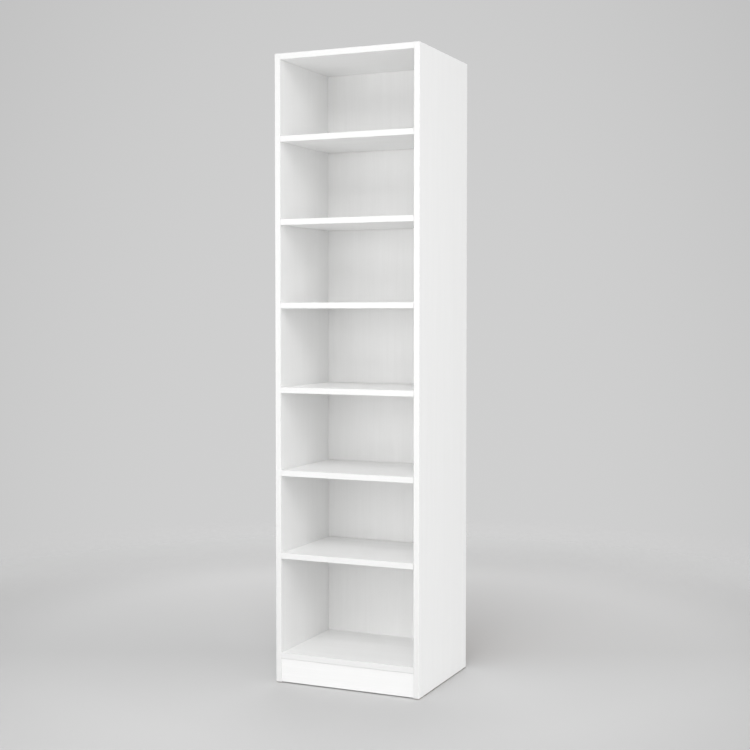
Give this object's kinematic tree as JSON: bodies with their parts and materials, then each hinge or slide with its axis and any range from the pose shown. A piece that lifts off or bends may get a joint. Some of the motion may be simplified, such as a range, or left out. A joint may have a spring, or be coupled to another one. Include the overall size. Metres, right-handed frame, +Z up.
{
  "type": "clothes shelving unit",
  "caption": "Tall, narrow open shelving unit for folded clothes: white boards, evenly spaced shelves between full-height sides, a recessed back panel and a low plinth.",
  "frame": {"origin": "on the floor, under the middle of the unit's box", "axes": "+Z up, the open front faces -Y, +X to the right as seen from the front"},
  "size_m": [0.5, 0.42, 2.025],
  "materials": {
    "white_board": "satin",
    "edge_band": "satin",
    "back_board": "satin",
    "zinc": "satin",
    "steel": "polished",
    "glide_plastic": "satin"
  },
  "bodies": {
    "root": {"left_side_panel": "white_board", "left_side_edge_band": "edge_band", "right_side_panel": "white_board", "right_side_edge_band": "edge_band", "top_panel": "white_board", "top_panel_edge_band": "edge_band", "bottom_panel": "white_board", "bottom_panel_edge_band": "edge_band", "shelf_1": "white_board", "shelf_1_edge_band": "edge_band", "shelf_2": "white_board", "shelf_2_edge_band": "edge_band", "shelf_3": "white_board", "shelf_3_edge_band": "edge_band", "shelf_4": "white_board", "shelf_4_edge_band": "edge_band", "shelf_5": "white_board", "shelf_5_edge_band": "edge_band", "shelf_6": "white_board", "shelf_6_edge_band": "edge_band", "front_plinth": "white_board", "back_panel": "back_board", "top_panel_cam_lock_left": "zinc", "top_panel_cam_bolt_left": "steel", "top_panel_cam_lock_right": "zinc", "top_panel_cam_bolt_right": "steel", "bottom_panel_cam_lock_left": "zinc", "bottom_panel_cam_bolt_left": "steel", "bottom_panel_cam_lock_right": "zinc", "bottom_panel_cam_bolt_right": "steel", "shelf_4_cam_lock_left": "zinc", "shelf_4_cam_bolt_left": "steel", "shelf_4_cam_lock_right": "zinc", "shelf_4_cam_bolt_right": "steel", "front_plinth_cam_lock": "zinc", "front_plinth_cam_bolt": "steel", "shelf_1_pin_left_front": "steel", "shelf_1_pin_left_rear": "steel", "shelf_1_pin_right_front": "steel", "shelf_1_pin_right_rear": "steel", "shelf_2_pin_left_front": "steel", "shelf_2_pin_left_rear": "steel", "shelf_2_pin_right_front": "steel", "shelf_2_pin_right_rear": "steel", "shelf_3_pin_left_front": "steel", "shelf_3_pin_left_rear": "steel", "shelf_3_pin_right_front": "steel", "shelf_3_pin_right_rear": "steel", "shelf_5_pin_left_front": "steel", "shelf_5_pin_left_rear": "steel", "shelf_5_pin_right_front": "steel", "shelf_5_pin_right_rear": "steel", "shelf_6_pin_left_front": "steel", "shelf_6_pin_left_rear": "steel", "shelf_6_pin_right_front": "steel", "shelf_6_pin_right_rear": "steel", "glide_left_front": "glide_plastic", "glide_left_rear": "glide_plastic", "glide_right_front": "glide_plastic", "glide_right_rear": "glide_plastic"}
  },
  "joints": []
}
